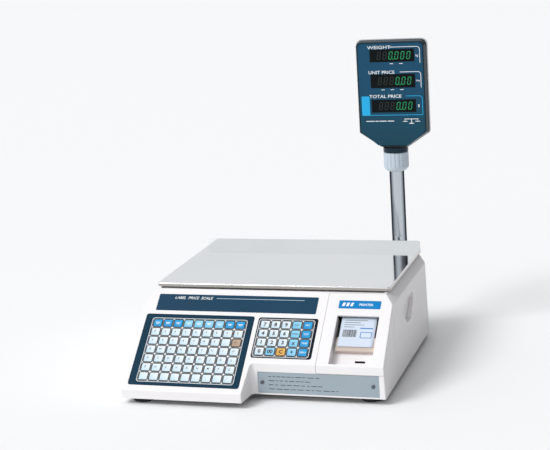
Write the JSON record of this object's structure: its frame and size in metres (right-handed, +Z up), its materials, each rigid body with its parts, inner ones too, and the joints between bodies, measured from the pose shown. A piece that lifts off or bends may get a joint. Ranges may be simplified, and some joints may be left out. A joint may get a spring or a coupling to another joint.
{
  "type": "retail price scale",
  "caption": "Counter scale that weighs goods on a steel platter, works out the price and prints a label, with keyboards in front and a customer display on a pole.",
  "frame": {"origin": "middle of the bounding box on the counter, at the undersides of the feet", "axes": "+Z up, +X to the right of someone at the keyboard, front faces -Y"},
  "size_m": [0.413, 0.446, 0.502],
  "materials": {
    "case_plastic": "fine moulded texture",
    "base_steel": "powder coat",
    "foot_rubber": "matte",
    "plate_metal": "satin printed plate",
    "screw_steel": "zinc plated",
    "window_film": "printed film over a dark window",
    "badge_film": "printed film",
    "overlay_film": "fine texture film",
    "key_white": "satin",
    "key_light_blue": "satin",
    "key_blue": "satin",
    "key_orange": "satin",
    "peel_plastic": "moulded",
    "label_paper": "thermal paper",
    "frame_steel": "zinc plated sheet",
    "platen_rubber": "ground rubber",
    "print_head_plastic": "moulded",
    "platter_steel": "polished stainless sheet",
    "cast_aluminium": "as cast",
    "pad_rubber": "matte",
    "cell_aluminium": "milled",
    "circuit_board": "solder mask",
    "supply_can": "pressed can",
    "pole_chrome": "polished tube",
    "bracket_plastic": "moulded",
    "collar_plastic": "moulded flutes",
    "head_plastic": "fine gloss",
    "head_rim_plastic": "moulded",
    "display_panel": "printed panel",
    "display_window": "smoked window",
    "socket_plastic": "moulded"
  },
  "bodies": {
    "base": {"base_plate": "base_steel", "upper_cover": "case_plastic", "printer_bezel": "case_plastic", "rating_plate": "plate_metal", "rating_plate_screws": "screw_steel", "operator_window": "window_film", "badge_plate": "badge_film", "preset_overlay": "overlay_film", "preset_keys": "key_white", "numeric_overlay": "overlay_film", "peel_plate": "peel_plastic", "printed_label": "label_paper", "printer_frame": "frame_steel", "print_head": "print_head_plastic", "load_cell_fixed": "cell_aluminium", "main_board": "circuit_board", "power_supply": "supply_can", "pole": "pole_chrome", "pole_bracket": "bracket_plastic", "bracket_screws": "screw_steel", "power_inlet": "socket_plastic"},
    "door": {"side_door": "case_plastic"},
    "platen": {"platen_roller": "platen_rubber"},
    "roll": {"label_roll": "label_paper"},
    "weighing_frame": {"platter_spider": "cast_aluminium", "spider_pads": "pad_rubber", "load_cell_live": "cell_aluminium"},
    "platter": {"platter": "platter_steel"},
    "collar": {"collar_nut": "collar_plastic"},
    "head": {"head_front_shell": "head_plastic", "head_rear_shell": "head_plastic", "head_band": "head_rim_plastic", "head_panels": "display_panel", "head_windows": "display_window", "head_neck": "head_plastic"},
    "rocker": {"power_switch": "socket_plastic"},
    "foot_front_left": {"foot_front_left": "foot_rubber"},
    "foot_front_right": {"foot_front_right": "foot_rubber"},
    "foot_rear_left": {"foot_rear_left": "foot_rubber"},
    "foot_rear_right": {"foot_rear_right": "foot_rubber"},
    "key_7": {"key_7": "key_white"},
    "key_8": {"key_8": "key_white"},
    "key_9": {"key_9": "key_white"},
    "key_pay": {"key_pay": "key_light_blue"},
    "key_print": {"key_print": "key_blue"},
    "key_4": {"key_4": "key_white"},
    "key_5": {"key_5": "key_white"},
    "key_6": {"key_6": "key_white"},
    "key_void": {"key_void": "key_light_blue"},
    "key_total": {"key_total": "key_blue"},
    "key_1": {"key_1": "key_white"},
    "key_2": {"key_2": "key_white"},
    "key_3": {"key_3": "key_white"},
    "key_times": {"key_times": "key_light_blue"},
    "key_tare": {"key_tare": "key_blue"},
    "key_0": {"key_0": "key_white"},
    "key_00": {"key_00": "key_light_blue"},
    "key_clear": {"key_clear": "key_orange"},
    "key_plus": {"key_plus": "key_light_blue"},
    "key_zero": {"key_zero": "key_blue"}
  },
  "joints": [
    {"name": "load_deflection", "type": "slide", "parent": "base", "child": "weighing_frame", "axis": [0, 0, 1], "range_m": [-0.0008, 0], "stiffness_N_per_m": 40000, "springref_m": 0.0006},
    {"name": "platter_lift", "type": "slide", "parent": "weighing_frame", "child": "platter", "axis": [0, 0, 1], "range_m": [0, 0.08]},
    {"name": "side_door_hinge", "type": "hinge", "parent": "base", "child": "door", "pos_m": [0.1985, 0.026, 0.016], "axis": [0, 1, 0], "range_deg": [0, 90]},
    {"name": "head_swivel", "type": "hinge", "parent": "base", "child": "head", "pos_m": [0.1495, 0.199, 0.3], "axis": [0, 0, 1], "range_deg": [-170, 170]},
    {"name": "collar_turn", "type": "hinge", "parent": "base", "child": "collar", "pos_m": [0.1495, 0.199, 0.3], "axis": [0, 0, 1], "range_deg": [0, 270]},
    {"name": "label_roll_spin", "type": "hinge", "parent": "base", "child": "roll", "pos_m": [0.15, 0, 0.07], "axis": [1, 0, 0], "continuous": true},
    {"name": "platen_spin", "type": "hinge", "parent": "base", "child": "platen", "pos_m": [0.15, -0.09286, 0.11112], "axis": [1, 0, 0], "continuous": true},
    {"name": "power_rocker", "type": "hinge", "parent": "base", "child": "rocker", "pos_m": [-0.108, 0.1685, 0.048], "axis": [1, 0, 0], "range_deg": [-14, 0]},
    {"name": "foot_front_left_screw", "type": "hinge", "parent": "base", "child": "foot_front_left", "pos_m": [-0.175, -0.195, 0.01], "axis": [0, 0, 1], "continuous": true},
    {"name": "foot_front_right_screw", "type": "hinge", "parent": "base", "child": "foot_front_right", "pos_m": [0.175, -0.15, 0.01], "axis": [0, 0, 1], "continuous": true},
    {"name": "foot_rear_left_screw", "type": "hinge", "parent": "base", "child": "foot_rear_left", "pos_m": [-0.175, 0.135, 0.01], "axis": [0, 0, 1], "continuous": true},
    {"name": "foot_rear_right_screw", "type": "hinge", "parent": "base", "child": "foot_rear_right", "pos_m": [0.17, 0.135, 0.01], "axis": [0, 0, 1], "continuous": true},
    {"name": "key_7_press", "type": "slide", "parent": "base", "child": "key_7", "axis": [0, -0.6341, 0.7733], "range_m": [-0.0004, 0], "stiffness_N_per_m": 1500},
    {"name": "key_8_press", "type": "slide", "parent": "base", "child": "key_8", "axis": [0, -0.6341, 0.7733], "range_m": [-0.0004, 0], "stiffness_N_per_m": 1500},
    {"name": "key_9_press", "type": "slide", "parent": "base", "child": "key_9", "axis": [0, -0.6341, 0.7733], "range_m": [-0.0004, 0], "stiffness_N_per_m": 1500},
    {"name": "key_pay_press", "type": "slide", "parent": "base", "child": "key_pay", "axis": [0, -0.6341, 0.7733], "range_m": [-0.0004, 0], "stiffness_N_per_m": 1500},
    {"name": "key_print_press", "type": "slide", "parent": "base", "child": "key_print", "axis": [0, -0.6341, 0.7733], "range_m": [-0.0004, 0], "stiffness_N_per_m": 1500},
    {"name": "key_4_press", "type": "slide", "parent": "base", "child": "key_4", "axis": [0, -0.6341, 0.7733], "range_m": [-0.0004, 0], "stiffness_N_per_m": 1500},
    {"name": "key_5_press", "type": "slide", "parent": "base", "child": "key_5", "axis": [0, -0.6341, 0.7733], "range_m": [-0.0004, 0], "stiffness_N_per_m": 1500},
    {"name": "key_6_press", "type": "slide", "parent": "base", "child": "key_6", "axis": [0, -0.6341, 0.7733], "range_m": [-0.0004, 0], "stiffness_N_per_m": 1500},
    {"name": "key_void_press", "type": "slide", "parent": "base", "child": "key_void", "axis": [0, -0.6341, 0.7733], "range_m": [-0.0004, 0], "stiffness_N_per_m": 1500},
    {"name": "key_total_press", "type": "slide", "parent": "base", "child": "key_total", "axis": [0, -0.6341, 0.7733], "range_m": [-0.0004, 0], "stiffness_N_per_m": 1500},
    {"name": "key_1_press", "type": "slide", "parent": "base", "child": "key_1", "axis": [0, -0.6341, 0.7733], "range_m": [-0.0004, 0], "stiffness_N_per_m": 1500},
    {"name": "key_2_press", "type": "slide", "parent": "base", "child": "key_2", "axis": [0, -0.6341, 0.7733], "range_m": [-0.0004, 0], "stiffness_N_per_m": 1500},
    {"name": "key_3_press", "type": "slide", "parent": "base", "child": "key_3", "axis": [0, -0.6341, 0.7733], "range_m": [-0.0004, 0], "stiffness_N_per_m": 1500},
    {"name": "key_times_press", "type": "slide", "parent": "base", "child": "key_times", "axis": [0, -0.6341, 0.7733], "range_m": [-0.0004, 0], "stiffness_N_per_m": 1500},
    {"name": "key_tare_press", "type": "slide", "parent": "base", "child": "key_tare", "axis": [0, -0.6341, 0.7733], "range_m": [-0.0004, 0], "stiffness_N_per_m": 1500},
    {"name": "key_0_press", "type": "slide", "parent": "base", "child": "key_0", "axis": [0, -0.6341, 0.7733], "range_m": [-0.0004, 0], "stiffness_N_per_m": 1500},
    {"name": "key_00_press", "type": "slide", "parent": "base", "child": "key_00", "axis": [0, -0.6341, 0.7733], "range_m": [-0.0004, 0], "stiffness_N_per_m": 1500},
    {"name": "key_clear_press", "type": "slide", "parent": "base", "child": "key_clear", "axis": [0, -0.6341, 0.7733], "range_m": [-0.0004, 0], "stiffness_N_per_m": 1500},
    {"name": "key_plus_press", "type": "slide", "parent": "base", "child": "key_plus", "axis": [0, -0.6341, 0.7733], "range_m": [-0.0004, 0], "stiffness_N_per_m": 1500},
    {"name": "key_zero_press", "type": "slide", "parent": "base", "child": "key_zero", "axis": [0, -0.6341, 0.7733], "range_m": [-0.0004, 0], "stiffness_N_per_m": 1500}
  ],
  "couplings": [
    {"joint": "platen_spin", "follows": "label_roll_spin", "ratio": 6}
  ]
}
